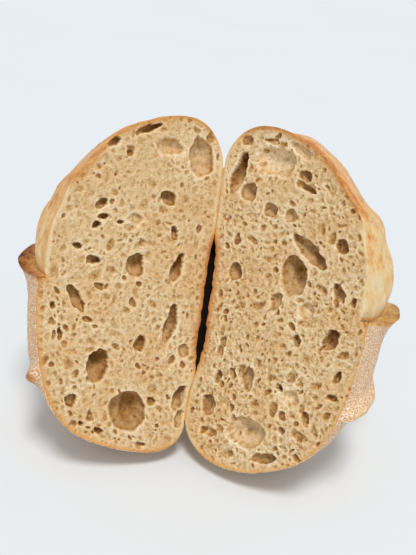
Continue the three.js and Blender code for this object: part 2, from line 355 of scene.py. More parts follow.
# Toast, flour and bloom of each point of the skin. x is where it lay before the ear's curve.
def crustTones(points, crown, x, name):
    ear, bloom, short, arch = loaf["ear"], loaf["bloom"], loaf["shortScore"], loaf["arch"]
    across = np.abs(points[:, 1])
    look, form = baked[name], toneShapes
    mottle, blush, nubForm, edgeForm = form["patches"], form["blush"], form["nub"], form["edge"]
    patches = smoothNoise(points, mottle["size"], seeds["patches"])
    patches += mottle["smallShare"] * smoothNoise(points, mottle["small"], seeds["smallPatches"])
    spots = smoothNoise(points, form["spots"], seeds["spots"])

    along = crown * alongEar(across, form["earFade"])
    opened = bloomMask(x, across) * crown
    crest = np.where(x < ear["at"], hump(x, ear["at"], form["crest"]), 0) * along
    face = (x >= ear["at"]) * (1 - rampPast(ear["at"], form["face"], x)) * along
    edge = hump(x, bloom["edgeAt"] + edgeForm["past"], edgeForm["spread"]) * along
    edge *= ramp(*edgeForm["patches"], patches)
    shoulder = rampPast(bloom["edgeAt"], form["shoulder"], x)
    nubAt = short["at"] - short["slant"] * points[:, 1] - nubForm["below"]
    nub = crown * (1 - ramp(*nubForm["fades"], across)) * ramp(*nubForm["grows"], across)
    nub *= hump(x, nubAt, nubForm["spread"]) * look["nubBare"]

    toast, flour = (towards(*pair, shoulder) for pair in zip(look["flank"], look["shoulder"]))
    toast, flour = toast + mottle["toast"] * patches, flour + mottle["flour"] * patches
    beside = shoulder * (1 - ramp(*form["nearCut"]["across"], across))
    toast = towards(toast, look["nearCut"], beside)
    flour *= 1 - form["nearCut"]["cleared"] * beside
    higher = ramp(*form["bloomTop"]["along"], x + form["bloomTop"]["patches"] * patches)
    toast = towards(toast, towards(look["bloom"][0], look["bloomTop"], higher), opened)
    flour = towards(flour, look["bloom"][1], opened)
    blushing = opened * ramp(*blush["spots"], spots) * ramp(*blush["along"], x)
    toast = towards(toast, blush["toast"], blush["share"] * blushing)
    cutLine = opened * (1 - ramp(*form["cutLine"]["across"], across))
    toast = towards(toast, form["cutLine"]["toast"], cutLine)
    for place, key in ((face, "lipFace"), (edge, "edge"), (nub, "nub"), (crest, "lip")):
        toast, flour = towards(toast, look[key], place), flour * (1 - place)

    isBase = (1 - ramp(*form["base"]["upTo"], points[:, 2])) * (crown < 0.01)
    inArch = 1 - rampPast(arch["reach"], form["base"]["archEnds"], np.abs(x - arch["at"]))
    away = ramp(*form["base"]["away"], across)
    beneath = towards(towards(under["rest"], under["arch"], inArch), under["away"], away)
    toast = towards(toast, beneath + mottle["base"] * patches, isBase)
    flour = towards(flour, under["flour"] * away, isBase)
    return np.clip(toast, 0, 1), np.clip(flour, 0, 1), np.clip(opened, 0, 1)


def addToScene(name, data):
    made = bpy.data.objects.new(name, data)
    bpy.context.scene.collection.objects.link(made)
    return made


def setPlaces(bm, places):
    for vert, place in zip(bm.verts, places):
        vert.co = place


def setValues(bm, values):
    for key, numbers in values.items():
        layer = bm.verts.layers.float.new(key)
        for vert, number in zip(bm.verts, np.asarray(numbers).tolist()):
            vert[layer] = number


def placesOf(bm):
    return np.array([vert.co for vert in bm.verts])


def openEdges(bm):
    return [edge for edge in bm.edges if edge.is_boundary]


def only(kind, items):
    return [item for item in items if isinstance(item, kind)]


def pieceFrom(bm, name, material):
    bmesh.ops.recalc_face_normals(bm, faces=bm.faces)
    if bm.calc_volume(signed=True) < 0:
        bmesh.ops.reverse_faces(bm, faces=bm.faces)
    for face in bm.faces:
        face.smooth = True
    mesh = bpy.data.meshes.new(name)
    bm.to_mesh(mesh)
    bm.free()
    mesh.materials.append(material)
    print(name, len(mesh.vertices), "vertices")
    return addToScene(name, mesh)


def liesAlongCut(edge):
    first, second = edge.verts
    return abs(first.co.y - second.co.y) < tiny


# A grid wrapped round the half, from cut to cut, with a rim and a recess that the crumb fills.
def makeCrust(name, material):
    half = halves[name]
    side, recess = half["side"], crust["recess"]
    bm = bmesh.new()
    ring = bm.verts.layers.int.new("ring")
    bmesh.ops.create_grid(bm, x_segments=crust["along"], y_segments=crust["around"], size=0.5)
    border = [edge for edge in openEdges(bm) if liesAlongCut(edge)]
    for number in (1, 2):
        grown = bmesh.ops.extrude_edge_only(bm, edges=border)["geom"]
        border = only(bmesh.types.BMEdge, grown)
        for edge in border:
            for vert in edge.verts:
                vert[ring] = number
    rings = np.array([vert[ring] for vert in bm.verts])
    share, around, _ = (placesOf(bm) + 0.5).T
    points, outwards, crown, unmoved = skin(share, (around - 0.5) * np.pi, half)
    points[:, 1] += side * loaf["kerf"] / 2
    toast, flour, opened = crustTones(points, crown, unmoved, name)
    points[rings == 1] -= outwards[rings == 1] * crust["rim"]
    points[rings == 2] -= outwards[rings == 2] * recess["inset"]
    points[rings == 2, 1] = side * recess["depth"]
    setPlaces(bm, placed(points, name))
    setValues(bm, {"toast": toast, "flour": flour, "bloom": opened})
    ends = [vert for vert, at in zip(bm.verts, share.tolist()) if min(at, 1 - at) < tiny]
    bmesh.ops.remove_doubles(bm, verts=ends, dist=2e-5)
    bmesh.ops.holes_fill(bm, edges=openEdges(bm), sides=0)
    return pieceFrom(bm, name + "_crust", material)


# The crumb. Sizes and depths are in millimetres.
crumb = {
    "cell": 0.48, "margin": 1, "rimInset": 0.15, "rimClear": 0.25,
    "rimDepth": (1.0, 3.2),  # the most at the rim, and more per millimetre inwards
    "back": {"depth": 16.5, "inset": 3.4, "clear": 1.5},
    "noiseAt": 7.0,
    "bend": ((9, 1.4), (4, 0.9), (1.9, 0.35)),  # how the bubbles' outlines wander: size, by
    "drawn": {"size": 38, "turn": 2.2, "fromRim": 14},
    "reach": 0.6,
    "classes": (  # opening, how many, wall between, share of its half width that it is deep
        (9, 14, 0.7, 0.3),
        (7, 34, 0.7, 0.36),
        (5.4, 90, 0.6, 0.4),
        (4.2, 190, 0.6, 0.42),
        (3.1, 330, 0.5, 0.45),
        (2.3, 300, 0.4, 0.5),
        (1.7, 160, 0.4, 0.8),
    ),
    "depths": ((0.4, 0.8, 1.2, 2.0), (0.42, 0.36, 0.16, 0.06)),  # times that depth, how often
    "packing": {
        "fromRim": 0.8,
        "outsideHollows": 3.5,  # wider ones lie outside the large hollows
        "clear": 3.0,
        "roomFor": 0.4,  # the room it needs, as a share of its size
        "fits": 0.45,  # and of its width
        "slim": (1.0, 1.9), "longer": (0.8, 1.2), "turn": 0.4, "spare": 1.5,
    },
    "foam": ((6.2, 0.6), (3.6, 0.65), (2.1, 0.5), (1.4, 0.24)),  # cells between bubbles: size, depth
    "foamCell": (0.7, 0.25, 1.3),  # wall, least depth, how much more
    "web": ((1.3, 0.1), (2.8, 0.15), (5, 0.26)),  # crinkles of the cut itself: size, height
    "coarse": {"half_left": (0.76, 0.48), "half_right": (1.1, 0.8)},  # the relief's strength by end
    "coarseChanges": (-80, 70),
    "regions": {"size": 24, "least": 0.95, "by": 0.4},
    "dense": {"within": 7, "least": 0.35, "more": 0.65},  # smaller cells close to the crust
    "skew": 0.55,  # how much deeper bubbles are to the upper right
    "gentle": {"by": 0.9, "sides": 0.5, "slope": 0.6},  # the softer slope on the other side
    "film": (0.3, 0.42),  # share of the width, up to which the floor is pale
    "hollowFrom": (0.2, 2.0),  # depth that counts as inside a hollow
    "inHollows": 0.45,  # how much of the fine cells is left there
    "folds": ((7, 0.2), (3, 0.12)),  # in the large hollows: size, share of the depth
    "ridges": ((2, 0.3), (5, 0.2), (9, 0.16)),  # cells round a spot it is compared with, how much
    "filmTone": 0.15, "floorShade": 0.18, "floorDepth": 1.2, "shownDepth": 2.2,
    "hollowShade": (2.5, 9),  # depth where their painted shade starts, and what it takes
    "edgeBand": 10,
}

# The hollows that the knife opened: up the cut, out from the base, length, width, depth, and the
# tilt that turns the length from up the cut towards the dome.
hollows = {
    "half_left": (
        (-83.7, 45.3, 29, 26, 13, 12), (-55.3, 69.8, 22, 15, 11, 0), (12.6, 52.7, 16, 14, 9, 0),
        (12.4, 81.8, 6, 10, 6, 0), (-25.5, 23, 30, 9, 9, -6), (12.7, 23.5, 22, 9, 8, -15),
        (88, 77, 11, 4.2, 5, -52), (100, 56, 5, 20, 6, 28), (83.3, 66.5, 5, 7, 3, 0),
        (91, 40, 13, 21, 5, 0), (87.5, 17, 26, 19, 8, 20), (101.4, 12.5, 8, 6, 4, 0),
        (58.1, 36, 10, 12, 6, 0), (48.8, 80.9, 9, 6, 6, -36), (40.8, 78.5, 4, 7.4, 4.5, 10),
        (35.2, 82.3, 3.8, 7, 5.5, 22), (38.8, 66.1, 3.8, 4.7, 4.5, 0), (42.5, 57.7, 9, 12, 3, 0),
        (20.5, 92.8, 4.4, 7, 4, 0), (-12, 89.5, 21, 6, 7, 35), (-36.1, 97.4, 9.5, 3.2, 4, 0),
        (-38.4, 42.6, 10, 10.5, 7, 0), (-41.4, 9.6, 10, 9, 4, 0), (-75, 8.8, 21, 8.5, 8, -18),
        (-89, 7.3, 13, 7.5, 5, -8), (-77.7, 28.4, 7, 6, 5, 0), (-78, 84.7, 9, 8.5, 6, 0),
        (-92.5, 75, 4, 4, 5, 0), (-97.4, 63, 5, 8, 5, -30), (-88.4, 69.3, 7, 6, 3.5, 0),
        (-106, 33.5, 2.7, 9, 3, 0), (36.7, 28.5, 10.6, 5.7, 6, 10), (27.3, 49.9, 6, 6, 2.5, 0),
        (-25.8, 80.6, 5, 7, 3, 0), (-17.8, 104.3, 5.6, 3.2, 3, 0), (-2.9, 75.7, 5, 6, 3.5, 0),
    ),
    "half_right": (
        (79.9, 11, 32, 9, 10, 14), (90, 36, 21, 32, 7, 0), (69.9, 20.2, 13, 14, 6, 0),
        (58.9, 38.4, 10, 11.5, 5, 0), (56.9, 53.3, 8, 10, 4, 0), (83.1, 59.9, 8, 9, 6, 0),
        (75.6, 61.8, 15, 4, 5, -58), (36.2, 69.2, 30, 10, 9, -56), (18.5, 60.7, 26, 19, 11, 0),
        (41.2, 90.9, 10, 8, 6, -20), (15, 18.1, 12, 12, 6, 0), (13.1, 94, 13, 7, 7, -35),
        (8.5, 105, 6, 5, 5, 0), (-21.1, 69.7, 8, 5.6, 6, 0), (-17.1, 92.4, 17, 9, 10, 24),
        (-31.6, 17, 8, 6, 4, 0), (-52.2, 38.8, 17, 9.5, 7, 0), (-52, 26.5, 7, 5.4, 4, 0),
        (-55.4, 16.1, 9, 5.5, 6, 0), (-38, 100, 9, 5, 6, 20), (-58.5, 71.2, 12, 15, 4, 0),
        (-54, 61.9, 6, 4, 5, 0), (-50.8, 98, 5, 6.6, 4, 0), (-67.3, 83.1, 8, 7, 6, 0),
        (-76, 12, 16, 10, 8, 0), (-93.6, 15.1, 7, 13, 4, 0), (-87.9, 42.2, 22, 31, 9, 0),
        (-101, 57, 6, 20, 6, -18), (-80.5, 67.5, 5, 6, 3, 0), (98.8, 54, 20, 8, 3.5, -62),
        (103, 33, 4, 9, 3, 0), (102.8, 14.2, 7, 9, 3.5, 0), (-38, 14.9, 7, 6, 3, 0),
        (-1.9, 73.7, 14, 11, 4, 0), (0.5, 51, 15, 9, 5, 12),
    ),
}


# The cut's outline: its points in x and z, the way inwards, and how far it is baked.
def outlineOf(name, count=1400, spacing=0.2, apart=3):
    share = np.concatenate([np.linspace(0, 1, count), np.linspace(1, 0, count)])
    angle = np.repeat([np.pi / 2, -np.pi / 2], count)
    rim, _, crown, unmoved = skin(share, angle, halves[name])
    toast = crustTones(rim, crown, unmoved, name)[0]
    around = np.column_stack([rim[:, 0], rim[:, 2], toast])
    around = np.vstack([around, around[:1]])
    steps = np.linalg.norm(np.diff(around[:, :2], axis=0), axis=1)
    length = np.concatenate([[0], np.cumsum(steps)])
    at = np.arange(0, length[-1], spacing)
    x, z, toast = (np.interp(at, length, column) for column in around.T)
    points = np.stack([x, z], 1)
    ahead = np.roll(points, -apart, 0) - np.roll(points, apart, 0)
    inwards = np.stack([ahead[:, 1], -ahead[:, 0]], 1)
    inwards /= np.linalg.norm(inwards, axis=1)[:, None]
    return points, inwards, toast


def nearestOn(outline, spots):
    tree = KDTree(len(outline))
    for i, (x, z) in enumerate(outline):
        tree.insert((x, 0, z), i)
    tree.balance()
    return np.array([tree.find((x, 0, z))[1] for x, z in spots])


# Which spots of a lattice lie within a closed outline.
def insideOutline(outline, xs, zs):
    after = np.roll(outline, -1, 0)
    inside = np.zeros((len(xs), len(zs)), bool)
    for row, x in enumerate(xs):
        crossed = (outline[:, 0] <= x) != (after[:, 0] <= x)
        a, b = outline[crossed], after[crossed]
        heights = a[:, 1] + (x - a[:, 0]) / (b[:, 0] - a[:, 0]) * (b[:, 1] - a[:, 1])
        inside[row] = (zs[:, None] > heights[None, :]).sum(1) % 2 == 1
    return inside


# The cut plane as an even lattice of spots.
class Lattice:
    def __init__(self, name):
        self.name, self.side = name, halves[name]["side"]
        self.outline, self.inwards, self.toast = outlineOf(name)
        low, high = self.outline.min(0) - crumb["margin"], self.outline.max(0) + crumb["margin"]
        step = crumb["cell"]
        self.counts = [int(math.ceil(size / step)) for size in high - low]
        self.xs, self.zs = (at + step * np.arange(n + 1) for at, n in zip(low, self.counts))
        grid = np.stack(np.meshgrid(self.xs, self.zs, indexing="ij"), -1)
        spots = grid.reshape(-1, 2)
        nearest = nearestOn(self.outline, spots)
        self.shape = grid.shape[:2]
        self.nearest = nearest.reshape(self.shape)
        self.edge = np.linalg.norm(spots - self.outline[nearest], axis=1).reshape(self.shape)
        self.edge *= np.where(insideOutline(self.outline, self.xs, self.zs), 1, -1)
        self.flat = np.insert(spots, 1, crumb["noiseAt"] * self.side, axis=1)
        self.warp = [np.zeros(self.shape), np.zeros(self.shape)]
        for number, (size, by) in enumerate(crumb["bend"]):
            for axis in (0, 1):
                self.warp[axis] += by * self.noise(size, seeds["bend"] + 2 * number + axis)
        self.flow = self.drawnOut(crumb["drawn"])

    def noise(self, size, seed):
        return smoothNoise(self.flat, size, seed).reshape(self.shape)

    # The tilt at which bubbles lie: along the crust beside it, and any way further in.
    def drawnOut(self, drawn):
        tangent = np.arctan2(self.inwards[self.nearest, 0], -self.inwards[self.nearest, 1])
        wander = drawn["turn"] * self.noise(drawn["size"], seeds["wander"])
        pull = np.exp(-np.maximum(self.edge, 0) / drawn["fromRim"])
        doubled = [way(2 * tangent) * pull + way(2 * wander) * (1 - pull) for way in (np.sin, np.cos)]
        return np.arctan2(*doubled) / 2

    # The spots round a bubble, with some to spare for its wandering outline.
    def window(self, x, z, size, spare):
        reach = crumb["reach"] * size + spare
        i0, i1 = np.searchsorted(self.xs, (x - reach, x + reach))
        j0, j1 = np.searchsorted(self.zs, (z - reach, z + reach))
        return slice(max(i0 - 1, 0), i1 + 1), slice(max(j0 - 1, 0), j1 + 1)

    # Squared share of the way from the middle of a bubble to its rim.
    def radial(self, window, x, z, length, width, tilt, warped=True):
        along = self.xs[window[0], None] - x + (self.warp[0][window] if warped else 0)
        up = self.zs[None, window[1]] - z + (self.warp[1][window] if warped else 0)
        turned = along * math.cos(tilt) + up * math.sin(tilt)
        across = up * math.cos(tilt) - along * math.sin(tilt)
        return (2 * turned / length) ** 2 + (2 * across / width) ** 2

    # Cuts a bubble, a ball that the knife opened, into the field and gives back where it lies.
    def carve(self, field, x, z, length, width, depth, tilt, spare=2):
        window = self.window(x, z, max(length, width), spare)
        share = self.radial(window, x, z, length, width, tilt)
        size = math.sqrt(length * width)
        slim = 2 * depth / size
        middle = (slim * slim - 1) / (slim * slim + 1)
        radius = depth / (1 + middle)
        bowl = radius * (middle + np.sqrt(np.maximum(0, 1 - (1 - middle * middle) * share)))
        along, up = self.xs[window[0], None] - x, self.zs[None, window[1]] - z
        offset = np.clip((along - self.side * up) / size, -1, 1)
        bowl *= 1 + crumb["skew"] * offset
        gentle = crumb["gentle"]
        softened = gentle["by"] * ramp(0, gentle["sides"], -offset)
        bowl *= 1 - softened * (1 - ramp(0, gentle["slope"], 1 - share))
        field[window] = np.where(share < 1, np.maximum(field[window], bowl), field[window])
        return window, share < 1


# The depth of the large hollows, and where their floor is a thin pale film.
def largeField(cut):
    field, film = np.zeros(cut.shape), np.zeros(cut.shape)
    for x, z, length, width, depth, tilt in hollows[cut.name]:
        window, inside = cut.carve(field, x, z, length, width, depth, math.radians(tilt))
        paleness = float(1 - ramp(*crumb["film"], depth / math.sqrt(length * width)))
        film[window] = np.where(inside, paleness, film[window])
    for number, (size, share) in enumerate(crumb["folds"]):
        field = field * (1 + share * cut.noise(size, seeds["folds"] + number))
    return field, film


# The share of its depth that a foam of cells of this size has at each spot.
def foam(cut, size, seed, period=256):
    table = np.random.default_rng(seed).random((period, period, 3))
    columns = (cut.flat[:, 0], cut.flat[:, 2])
    spots = np.stack([at + bend.ravel() for at, bend in zip(columns, cut.warp)], 1)
    spots = spots / size
    cell = np.floor(spots).astype(int)
    nearest, second = np.full(len(spots), 9.0), np.full(len(spots), 9.0)
    draw = np.zeros(len(spots))
    for step in itertools.product((-1, 0, 1), repeat=2):
        i, j = (cell + step).T
        middle = table[i % period, j % period]
        distance = np.hypot(i + middle[:, 0] - spots[:, 0], j + middle[:, 1] - spots[:, 1])
        closer = distance < nearest
        second = np.where(closer, nearest, np.minimum(second, distance))
        draw = np.where(closer, middle[:, 2], draw)
        nearest = np.where(closer, distance, nearest)
    wall, least, more = crumb["foamCell"]
    bowl = np.sqrt(np.clip((second - nearest) / wall, 0, 1))
    return (bowl * (least + more * draw**3)).reshape(cut.shape)


# Bubbles of every size down to the lattice, packed from the largest.
def fineField(cut, large):
    packing = crumb["packing"]
    draws = np.random.default_rng(seeds[cut.name])
    free = cut.edge - packing["fromRim"]
    field = np.zeros(cut.shape)
    inHollow = large > 0.3
    counts = []
    for size, wanted, wall, slope in crumb["classes"]:
        room = free - (packing["clear"] * inHollow if size > packing["outsideHollows"] else 0)
        spots = draws.permutation(np.flatnonzero(room > packing["roomFor"] * size))
        made = 0
        for spot in spots:
            i, j = divmod(int(spot), cut.shape[1])
            slim = draws.uniform(*packing["slim"])
            length = size * math.sqrt(slim) * draws.uniform(*packing["longer"])
            width = size / math.sqrt(slim)
            if free[i, j] < packing["fits"] * width:
                continue
            x, z = cut.xs[i], cut.zs[j]
            tilt = cut.flow[i, j] + draws.normal(0, packing["turn"])
            times, often = crumb["depths"]
            depth = math.sqrt(length * width) / 2 * slope * draws.choice(times, p=often)
            cut.carve(field, x, z, length, width, depth, tilt)
            window = cut.window(x, z, length, wall + packing["spare"])
            share = cut.radial(window, x, z, length, width, tilt, warped=False)
            free[window] = np.minimum(free[window], (np.sqrt(share) - 1) * width / 2 - wall)
            made += 1
            if made == wanted:
                break
        counts.append(made)
    print("bubbles packed:", counts)
    return field


# The mean of a field over a square round each spot, reach cells each way.
def blurred(field, reach):
    width = 2 * reach + 1
    for _ in (0, 1):
        padded = np.pad(field, ((reach + 1, reach), (0, 0)), mode="edge")
        total = np.cumsum(padded, 0)
        field = ((total[width:] - total[:-width]) / width).T
    return field


# The cut's depth, and the values that its finish reads.
def crumbRelief(cut):
    large, film = largeField(cut)
    fine = fineField(cut, large)
    left = 1 - (1 - crumb["inHollows"]) * ramp(*crumb["hollowFrom"], large)
    along = ramp(*crumb["coarseChanges"], cut.xs)[:, None]
    coarse = towards(*crumb["coarse"][cut.name], along)
    fine *= left * np.sqrt(coarse)
    floors = np.minimum(fine, crumb["floorDepth"])
    regions, dense = crumb["regions"], crumb["dense"]
    left *= coarse
    left *= regions["least"] + regions["by"] * cut.noise(regions["size"], seeds["regions"])
    loosened = left * (dense["least"] + dense["more"] * ramp(0, dense["within"], cut.edge))
    for number, (size, height) in enumerate(crumb["foam"]):
        fine = fine + height * foam(cut, size, seeds["foam"] + number) * loosened
    for number, (size, height) in enumerate(crumb["web"]):
        crease = np.sqrt(np.abs(cut.noise(size, seeds["web"] + number)))
        fine = fine + height * crease * left
    shown = np.minimum(large, crumb["shownDepth"]) + fine
    # Ridges get a lighter colour and pits a darker one: partly the crumb's own tone, partly painted shade.
    ridge = 0.5 + sum(by * (blurred(shown, reach) - shown) for reach, by in crumb["ridges"])
    # Bubble floors are painted darker the deeper they are: painted shade.
    ridge += crumb["filmTone"] * film - crumb["floorShade"] * floors
    # The deep large hollows are painted darker and browner: painted shade.
    hollowShadeFrom, hollowShadeOver = crumb["hollowShade"]
    values = {
        "hollow": np.clip((large - hollowShadeFrom) / hollowShadeOver, 0, 1) * (1 - film),
        "ridge": np.clip(ridge, 0, 1), "edge": np.clip(cut.edge / crumb["edgeBand"], 0, 1),
        "tone": cut.toast[cut.nearest],
    }
    return large + fine, values


# A grid over the cut with walls and a back. Its layers hold each vert's spot of the lattice and its
# ring: 0 the cut, 1 its rim, 2 the back.
def crumbShell(cut):
    bm = bmesh.new()
    ring, index = bm.verts.layers.int.new("ring"), bm.verts.layers.int.new("index")
    columns, rows = cut.counts
    bmesh.ops.create_grid(bm, x_segments=columns, y_segments=rows, size=1)
    unit = (placesOf(bm) + 1) / 2
    spots = np.rint(unit[:, 0] * columns) * cut.shape[1] + np.rint(unit[:, 1] * rows)
    for vert, spot in zip(bm.verts, spots.astype(int).tolist()):
        vert[index] = spot
    outside = cut.edge.ravel() < crumb["rimClear"]
    beyond = [vert for vert in bm.verts if outside[vert[index]]]
    bmesh.ops.delete(bm, geom=beyond, context="VERTS")
    lone = [vert for vert in bm.verts if not vert.link_faces]
    bmesh.ops.delete(bm, geom=lone, context="VERTS")
    border = openEdges(bm)
    for vert in {vert for edge in border for vert in edge.verts}:
        vert[ring] = 1
    grown = bmesh.ops.extrude_edge_only(bm, edges=border)["geom"]
    for vert in only(bmesh.types.BMVert, grown):
        vert[ring] = 2
    bmesh.ops.holes_fill(bm, edges=openEdges(bm), sides=0)
    return bm, ring, index


def makeCrumb(name, material):
    cut = Lattice(name)
    depth, values = crumbRelief(cut)
    bm, ring, index = crumbShell(cut)
    rings = np.array([vert[ring] for vert in bm.verts])
    i, j = np.divmod([vert[index] for vert in bm.verts], cut.shape[1])
    nearest, back = cut.nearest[i, j], crumb["back"]
    most, deeper = crumb["rimDepth"]
    deep = np.minimum(depth[i, j], most + deeper * np.maximum(cut.edge[i, j], 0))
    deep = np.minimum(deep, back["depth"] - back["clear"]) + loaf["kerf"] / 2
    atRim, atBack = (
        cut.outline[nearest] + inset * cut.inwards[nearest]
        for inset in (crumb["rimInset"], back["inset"])
    )
    x = np.choose(rings, (cut.xs[i], atRim[:, 0], atBack[:, 0]))
    z = np.choose(rings, (cut.zs[j], atRim[:, 1], atBack[:, 1]))
    y = np.choose(rings, (deep, loaf["kerf"] / 2, back["depth"]))
    setPlaces(bm, placed(np.stack([x, cut.side * y, z], 1), name))
    setValues(bm, {key: field[i, j] for key, field in values.items()})
    bmesh.ops.remove_doubles(bm, verts=[vert for vert in bm.verts if vert[ring]], dist=tiny)
    return pieceFrom(bm, name + "_crumb", material)


# The strip of base crust that still joins the halves, folded together behind the vault.
fold = {
    "along": (-90, 84), "vault": (-58, 40),
    "front": (2.2, 11),  # behind the cut: where the halves touch, in the vault
    "ramp": 16,  # over which it goes back
    "thick": 4, "sunk": (0.3, 1.6), "waist": 2.2, "backWaist": 0.6,
    "uneven": {"size": 4, "height": 0.8},
    "toast": (0.3, 1.3),  # at the seam, and deep in the vault where its front is painted near black as shade
    "darkOver": (6, 3), "segments": 90, "across": 9,
}


def makeFold(name, material):
    bm = bmesh.new()
    bmesh.ops.create_grid(bm, x_segments=fold["segments"], y_segments=fold["across"], size=0.5)
    grown = bmesh.ops.extrude_face_region(bm, geom=bm.faces[:])["geom"]
    bmesh.ops.translate(bm, vec=(0, 0, 1), verts=only(bmesh.types.BMVert, grown))
    along, across, deep = (placesOf(bm) + (0.5, 0.5, 0)).T
    (low, high), (start, end), uneven = fold["along"], fold["vault"], fold["uneven"]
    x = low + (high - low) * along
    inVault = ramp(start, start + fold["ramp"], x) * (1 - ramp(end - fold["ramp"], end, x))
    # Its front deep in the vault is painted darker, up to near black: painted shade in the slit between the
    # halves.
    darkFrom, darkTo = start + fold["darkOver"][0], end - fold["darkOver"][1]
    dark = ramp(start, darkFrom, x) * (1 - ramp(darkTo, end, x)) * (1 - deep)
    pinched = 4 * across * (1 - across)
    behind = towards(*fold["front"], inVault) + fold["thick"] * deep
    behind += fold["waist"] * inVault * pinched * (1 - fold["backWaist"] * deep)
    waves = smoothNoise(np.stack([x, 4 * across, deep], 1), uneven["size"], seeds["foldFront"])
    behind += uneven["height"] * inVault * waves
    sides = []
    for key, half in halves.items():
        level = baseHeight(x, half) + towards(*fold["sunk"], inVault)
        sides.append(placed(np.stack([x, half["side"] * behind, level], 1), key))
    setPlaces(bm, sides[0] + (sides[1] - sides[0]) * across[:, None])
    none = np.zeros(len(x))
    setValues(bm, {"toast": towards(*fold["toast"], dark), "flour": none, "bloom": none})
    return pieceFrom(bm, name, material)


# Sets sockets to values, or links them where the value is a socket.
def fill(node, values):
    for key, value in values.items():
        if isinstance(value, bpy.types.NodeSocket):
            node.id_data.links.new(value, node.inputs[key])
        else:
            node.inputs[key].default_value = value


# Adds a node, to its inputs' tree where none is stated, and gives its outputs.
def addNode(kind, values, tree=None, **settings):
    if tree is None:
        tree = only(bpy.types.NodeSocket, values.values())[0].id_data
    made = tree.nodes.new("ShaderNode" + kind)
    for key, value in settings.items():
        setattr(made, key, value)
    fill(made, values)
    return made.outputs


def maths(operation, first, second, clamp=False):
    return addNode("Math", {0: first, 1: second}, operation=operation, use_clamp=clamp)[0]


def added(first, second, clamp=False):
    return maths("ADD", first, second, clamp)


def product(first, second, clamp=False):
    return maths("MULTIPLY", first, second, clamp)


def mixed(factor, first, second, blend="MIX"):
    return addNode("Mix", {0: factor, 6: first, 7: second}, data_type="RGBA", blend_type=blend)[2]


def stretched(value, low, high, toLow=0.0, toHigh=1.0):
    values = {"Value": value, "From Min": low, "From Max": high, "To Min": toLow, "To Max": toHigh}
    return addNode("MapRange", values, interpolation_type="SMOOTHSTEP")[0]


# A noise as a change of up to this much either way.
def swing(value, by):
    return stretched(value, 0.3, 0.7, -by, by)


# A display colour, 0 to 255, as the linear colour that a socket takes.
def linear(red, green, blue):
    shares = [c / 255 for c in (red, green, blue)]
    return tuple(c / 12.92 if c <= 0.04045 else ((c + 0.055) / 1.055) ** 2.4 for c in shares) + (1.0,)


def colourSteps(value, steps):
    made = addNode("ValToRGB", {0: value})[0]
    elements = made.node.color_ramp.elements
    while len(elements) < len(steps):
        elements.new(0.5)
    for element, (at, colour) in zip(elements, steps):
        element.position = at
        element.color = linear(*colour)
    return made


def attributes(tree, *names):
    return [addNode("Attribute", {}, tree, attribute_name=name)["Fac"] for name in names]


def noise(where, scale, detail=3.0, roughness=0.55):
    return addNode("TexNoise", {"Vector": where, "Scale": scale, "Detail": detail, "Roughness": roughness})[0]


def newGroup(name, inputs, outputs):
    tree = bpy.data.node_groups.new(name, "ShaderNodeTree")
    tree.interface.new_socket(name="Vector", in_out="INPUT", socket_type="NodeSocketVector")
    for key, value in inputs.items():
        socket = tree.interface.new_socket(name=key, in_out="INPUT", socket_type="NodeSocketFloat")
        socket.default_value = value
    for key in outputs:
        tree.interface.new_socket(name=key, in_out="OUTPUT", socket_type="NodeSocketFloat")
    return tree, tree.nodes.new("NodeGroupInput").outputs, tree.nodes.new("NodeGroupOutput")


# Fine pores and grain for crumb and crust: a height and a mask of the pores.
def grainGroup():
    values = {"Pore Scale": 700.0, "Depth": 1.0}
    tree, source, result = newGroup("bread grain", values, ("Height", "Pores"))
    where, scale = source["Vector"], source["Pore Scale"]
    cells = addNode("TexVoronoi", {"Vector": where, "Scale": scale}, feature="SMOOTH_F1")["Distance"]
    pores = stretched(cells, 0.15, 0.6, 1.0, 0.0)
    height = maths("SUBTRACT", noise(where, product(scale, 1.7), 4.0, 0.6), product(pores, 0.8))
    fill(result, {"Height": product(height, source["Depth"]), "Pores": pores})
    return tree


# Flour lying on a crust: how much of it there is at each point, 0 to 1.
def flourGroup():
    tree, source, result = newGroup("flour dust", {"Amount": 0.5}, ("Mask",))
    speckle = product(noise(source["Vector"], 1100.0, 2.0, 0.7), 0.65)
    clouds = product(noise(source["Vector"], 110.0, 3.0, 0.6), 0.45)
    bare = maths("SUBTRACT", 1.02, product(source["Amount"], 0.95))
    above = maths("SUBTRACT", added(speckle, clouds), bare)
    fill(result, {"Mask": stretched(above, -0.22, 0.16)})
    return tree


def newMaterial(name):
    material = bpy.data.materials.new(name)
    material.use_nodes = True
    tree = material.node_tree
    return material, tree, addNode("TexCoord", {}, tree)["Object"], tree.nodes["Principled BSDF"]


crumbFinish = {
    "steps": (  # from the ridges down into the pits: the lighter ridges are partly the thin walls' own tone, the darker pits partly painted shade
        (0.0, (246, 224, 186)), (0.3, (233, 205, 162)),
        (0.55, (215, 183, 135)), (0.8, (190, 149, 90)),
        (1.0, (152, 104, 50)),
    ),
    # hollow is the colour of the painted shade deep in the large hollows.
    "warm": (244, 223, 187), "hollow": (200, 172, 112), "paintedGlint": (255, 246, 226),
    "section": (  # the crust as the knife cut it, by how far it is baked
        (0.0, (240, 214, 170)), (0.2, (232, 196, 140)),
        (0.42, (226, 166, 90)), (0.66, (188, 112, 44)),
        (1.0, (104, 58, 26)),
    ),
    "grain": {"Pore Scale": 760.0, "Depth": 1.0},
    "bump": {"Strength": 0.7, "Distance": 0.0004},
    "shader": {
        "Subsurface Weight": 0.2, "Subsurface Radius": (0.003, 0.0018, 0.0009),
        "Subsurface Scale": 1.0, "Specular IOR Level": 0.5,
    },
}


